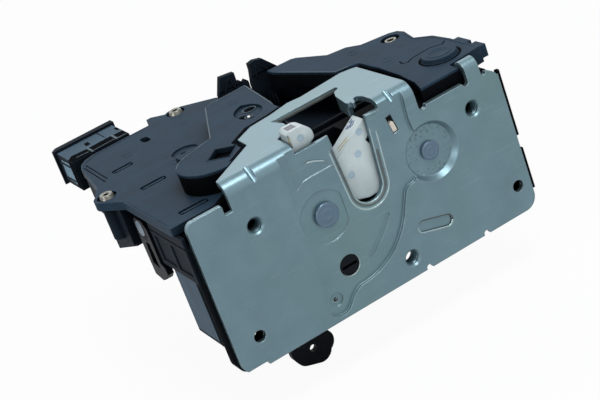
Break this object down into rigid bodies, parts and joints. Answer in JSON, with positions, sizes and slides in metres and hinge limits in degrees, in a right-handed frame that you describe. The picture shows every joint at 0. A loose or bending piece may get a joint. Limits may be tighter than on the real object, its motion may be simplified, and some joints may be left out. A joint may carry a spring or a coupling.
{
  "type": "car door lock",
  "caption": "Side door lock with a fork bolt and pawl latch behind a bent steel plate and an actuator housing with a plug socket at right angles to it",
  "frame": {"origin": "axis of the seated striker bar, in the outer face of the face plate", "axes": "+X along the face plate, +Y from the plate into the door, +Z towards the cabin side, the way the striker leaves"},
  "size_m": [0.1389, 0.1295, 0.0903],
  "materials": {
    "face_plate": "zinc-plated pressed sheet, satin",
    "fork_pin": "plated rivet",
    "pawl_pin": "plated rivet",
    "latch_housing": "moulded black plastic",
    "back_plate": "zinc-plated sheet",
    "bump_stop": "soft block",
    "fork_core": "hardened steel, dark",
    "fork_jacket": "white over-moulding",
    "fork_spring": "spring wire",
    "pawl": "hardened steel, dark",
    "pawl_spring": "spring wire",
    "release_lever": "black coated steel",
    "release_pin": "plated rivet",
    "lock_knob": "moulded plastic",
    "cable_lever": "black coated steel",
    "cable_pin": "plated rivet",
    "actuator_housing": "moulded black plastic",
    "left_cover": "moulded plastic, fine grain",
    "right_cover": "moulded plastic, fine grain",
    "cover_screws": "plated screws",
    "motor": "plated can",
    "worm": "machined",
    "worm_wheel": "moulded gear",
    "lock_arm": "moulded arm",
    "wheel_pin": "plain pin",
    "key_cam": "moulded cam",
    "terminals": "tinned blades",
    "fork_switch": "moulded case",
    "pawl_switch": "moulded case"
  },
  "bodies": {
    "lock_body": {"face_plate": "face_plate", "fork_pin": "fork_pin", "pawl_pin": "pawl_pin", "latch_housing": "latch_housing", "back_plate": "back_plate", "bump_stop": "bump_stop", "fork_spring": "fork_spring", "pawl_spring": "pawl_spring", "release_pin": "release_pin", "cable_pin": "cable_pin", "actuator_housing": "actuator_housing", "left_cover": "left_cover", "right_cover": "right_cover", "cover_screws": "cover_screws", "motor": "motor", "wheel_pin": "wheel_pin", "terminals": "terminals", "fork_switch": "fork_switch", "pawl_switch": "pawl_switch"},
    "fork_bolt": {"fork_core": "fork_core", "fork_jacket": "fork_jacket"},
    "pawl_body": {"pawl": "pawl"},
    "release": {"release_lever": "release_lever"},
    "knob": {"lock_knob": "lock_knob"},
    "cable": {"cable_lever": "cable_lever"},
    "key": {"key_cam": "key_cam"},
    "worm_shaft": {"worm": "worm"},
    "lock_wheel": {"worm_wheel": "worm_wheel", "lock_arm": "lock_arm"}
  },
  "joints": [
    {"name": "fork_turn", "type": "hinge", "parent": "lock_body", "child": "fork_bolt", "pos_m": [-0.0169, 0.007, -0.0049], "axis": [0, 1, 0], "range_deg": [0, 59], "stiffness_Nm_per_rad": 0.02, "springref_deg": -34.38},
    {"name": "pawl_turn", "type": "hinge", "parent": "lock_body", "child": "pawl_body", "pos_m": [0.0272, 0.007, -0.0032], "axis": [0, 1, 0], "range_deg": [0, 17.5]},
    {"name": "release_turn", "type": "hinge", "parent": "lock_body", "child": "release", "pos_m": [-0.0045, 0.021, -0.0262], "axis": [0, 1, 0], "range_deg": [-12, 0], "stiffness_Nm_per_rad": 0.03, "springref_deg": 34.38},
    {"name": "knob_turn", "type": "hinge", "parent": "lock_body", "child": "knob", "pos_m": [-0.0152, 0.01, -0.0258], "axis": [0, 1, 0], "range_deg": [0, 90]},
    {"name": "cable_lever_turn", "type": "hinge", "parent": "lock_body", "child": "cable", "pos_m": [-0.0659, 0.041, 0.0063], "axis": [1, 0, 0], "range_deg": [0, 15], "stiffness_Nm_per_rad": 0.01, "springref_deg": -28.65},
    {"name": "key_turn", "type": "hinge", "parent": "lock_body", "child": "key", "pos_m": [-0.035, 0.025, 0.0158], "axis": [0, 0, 1], "range_deg": [-45, 45]},
    {"name": "worm_spin", "type": "hinge", "parent": "lock_body", "child": "worm_shaft", "pos_m": [-0.0505, 0.063, 0.0046], "axis": [0, 1, 0], "range_deg": [-900, 900]},
    {"name": "wheel_turn", "type": "hinge", "parent": "lock_body", "child": "lock_wheel", "pos_m": [-0.0363, 0.062, 0.0046], "axis": [0, 0, 1], "range_deg": [-30, 30]}
  ],
  "couplings": [
    {"joint": "wheel_turn", "follows": "worm_spin", "ratio": 0.033333}
  ]
}
